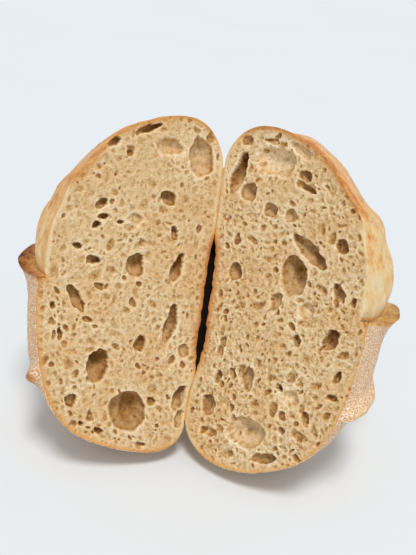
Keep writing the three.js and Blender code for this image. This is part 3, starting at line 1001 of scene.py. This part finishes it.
def crumbMaterial(grain):
    material, tree, where, shader = newMaterial("crumb")
    look = crumbFinish
    hollow, ridge, edge, tone = attributes(tree, "hollow", "ridge", "edge", "tone")
    wander = noise(where, 320.0)
    grained = addNode("Group", {"Vector": where, **look["grain"]}, tree, node_tree=grain)
    # Darker into the pits and pores: partly the crumb's own tone, partly painted shade.
    pitted = added(maths("SUBTRACT", 0.92, ridge), product(grained["Pores"], 0.14))
    colour = colourSteps(added(pitted, swing(wander, 0.1), clamp=True), look["steps"])
    warmth = stretched(noise(where, 45.0), 0.35, 0.65, 0.0, 0.6)
    # Random warmer patches, and painted shade deep in the large hollows.
    for share, key in ((warmth, "warm"), (hollow, "hollow")):
        colour = mixed(share, colour, linear(*look[key]), "MULTIPLY")
    # Painted highlights: small pale glints on the ridges.
    paintedGlints = stretched(noise(where, 1300.0, 1.0), 0.58, 0.7, 0.0, 0.6)
    colour = mixed(product(paintedGlints, stretched(ridge, 0.4, 0.7)), colour, linear(*look["paintedGlint"]))
    rim = added(edge, swing(wander, 0.06))
    section = colourSteps(tone, look["section"])
    soft = product(stretched(rim, 0.1, 0.5, 1.0, 0.0), tone, clamp=True)
    for share in (soft, stretched(rim, 0.08, 0.26, 0.95, 0.0)):
        colour = mixed(share, colour, section)
    gloss = added(noise(where, 420.0, 2.0), product(ridge, 0.2))
    rough = stretched(gloss, 0.56, 0.74, 0.75, 0.3)
    normal = addNode("Bump", {"Height": grained["Height"], **look["bump"]})[0]
    fill(shader, {"Base Color": colour, "Roughness": rough, "Normal": normal, **look["shader"]})
    return material


crustFinish = {
    "steps": (
        (0.0, (244, 218, 172)), (0.2, (241, 203, 140)),
        (0.4, (234, 174, 94)), (0.6, (208, 126, 48)),
        # The near black last step is painted shade, for the fold's front deep in the vault.
        (0.8, (140, 78, 30)), (1.0, (18, 9, 6)),
    ),
    "flour": (  # from the skin that shows between the grains to the grains
        (0.36, (192, 138, 98)), (0.46, (226, 184, 144)),
        (0.54, (242, 212, 180)), (0.64, (255, 246, 232)),
    ),
    "threads": (650.0, 650.0, 55.0),
    "grain": {"Pore Scale": 520.0, "Depth": 0.7},
    "bump": {"Strength": 0.55, "Distance": 0.0005},
    "shader": {"Specular IOR Level": 0.3},
}


def crustMaterial(grain, flour):
    material, tree, where, shader = newMaterial("crust")
    look = crustFinish
    toast, dust, bloom = attributes(tree, "toast", "flour", "bloom")
    mottle = noise(where, 150.0, 4.0, 0.6)
    freckle = noise(where, 700.0, 2.0, 0.5)
    streaks = addNode("Mapping", {"Vector": where, "Scale": look["threads"]})[0]
    threads = stretched(noise(streaks, 1.0, 3.0, 0.6), 0.4, 0.7, -0.04, 0.06)
    blotch = stretched(noise(where, 70.0, 2.0), 0.4, 0.7, -0.06, 0.16)
    golden = product(added(threads, blotch), bloom)
    mottled = added(added(toast, swing(mottle, 0.14)), swing(freckle, 0.05))
    level = added(mottled, golden, clamp=True)
    mask = addNode("Group", {"Vector": where, "Amount": dust}, tree, node_tree=flour)["Mask"]
    grit = colourSteps(noise(where, 1000.0, 1.0), look["flour"])
    colour = mixed(product(mask, 0.8), colourSteps(level, look["steps"]), grit)
    dull = stretched(mask, 0.0, 1.0, 0.5, 0.9)
    rough = added(dull, stretched(level, 0.7, 1.0, 0.0, 0.4), clamp=True)
    grained = addNode("Group", {"Vector": where, **look["grain"]}, tree, node_tree=grain)
    height = added(grained["Height"], product(mask, 0.5))
    normal = addNode("Bump", {"Height": added(height, mottle), **look["bump"]})[0]
    fill(shader, {"Base Color": colour, "Roughness": rough, "Normal": normal, **look["shader"]})
    return material


grain = grainGroup()
crumbStuff = crumbMaterial(grain)
crustStuff = crustMaterial(grain, flourGroup())
print("materials ready")

for name in halves:
    for piece in (makeCrust(name, crustStuff), makeCrumb(name, crumbStuff)):
        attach(piece, "root")
        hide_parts(name)
    print(name, "dressed")

joint = makeFold("base_fold", crustStuff)
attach(joint, "root")
print("base fold made")

studio = {
    "floor": (227, 233, 238), "floorSize": 8.0, "floorDarker": 0.985,
    "backdrop": (230, 236, 240),  # what is seen past the floor's edge
    "world": ((0.93, 0.965, 1.0), 0.54),
    "key": {"from": (0.1, -0.55, 1.3), "strength": 1.95, "softness": 16, "colour": (1.0, 0.97, 0.93)},
}


def makeFloor():
    bm = bmesh.new()
    bmesh.ops.create_grid(bm, x_segments=8, y_segments=8, size=studio["floorSize"] / 2)
    material, _, where, shader = newMaterial("pale floor")
    pale = linear(*studio["floor"])
    darker = tuple(studio["floorDarker"] * c for c in pale[:3]) + (1.0,)
    tone = stretched(noise(where, 3.0), 0.3, 0.7)
    fill(shader, {"Base Color": mixed(tone, pale, darker), "Roughness": 0.8})
    floor = pieceFrom(bm, "floor", material)


def makeLights():
    world = bpy.data.worlds.new("studio")
    bpy.context.scene.world = world
    world.use_nodes = True
    tree = world.node_tree
    colour, strength = studio["world"]
    lighting = tree.nodes["Background"]
    fill(lighting, {0: (*colour, 1.0), 1: strength})
    backdrop = addNode("Background", {0: linear(*studio["backdrop"])}, tree)[0]
    seen = addNode("LightPath", {}, tree)["Is Camera Ray"]
    both = addNode("MixShader", {0: seen, 1: lighting.outputs[0], 2: backdrop})[0]
    fill(tree.nodes["World Output"], {0: both})
    key = studio["key"]
    light = bpy.data.lights.new("key", "SUN")
    light.energy = key["strength"]
    light.angle = math.radians(key["softness"])
    light.color = key["colour"]
    holder = addToScene("key", light)
    holder.location = key["from"]
    holder.rotation_euler = Vector(key["from"]).to_track_quat("Z", "Y").to_euler()


# Angles are in degrees, distances and the lens in millimetres.
camera = {
    "azimuth": 2.743, "elevation": 27.286, "distance": 557.07, "roll": 6.699,
    "target": (-1.11, -13.596, 121.0), "lens": 833.1 / 555 * 36,
}


def makeCamera():
    azimuth, elevation, roll = (math.radians(camera[key]) for key in ("azimuth", "elevation", "roll"))
    level = Matrix.Rotation(azimuth, 4, "Z") @ Matrix.Rotation(math.pi / 2 - elevation, 4, "X")
    data = bpy.data.cameras.new("camera")
    data.lens = camera["lens"]
    holder = addToScene("camera", data)
    back = Matrix.Translation((0, 0, camera["distance"] / 1000))
    target = Matrix.Translation(Vector(camera["target"]) / 1000)
    holder.matrix_world = target @ level @ Matrix.Rotation(roll, 4, "Z") @ back
    bpy.context.scene.camera = holder


makeFloor()
makeLights()
makeCamera()
bpy.context.scene.view_settings.view_transform = "Standard"
print("studio ready")
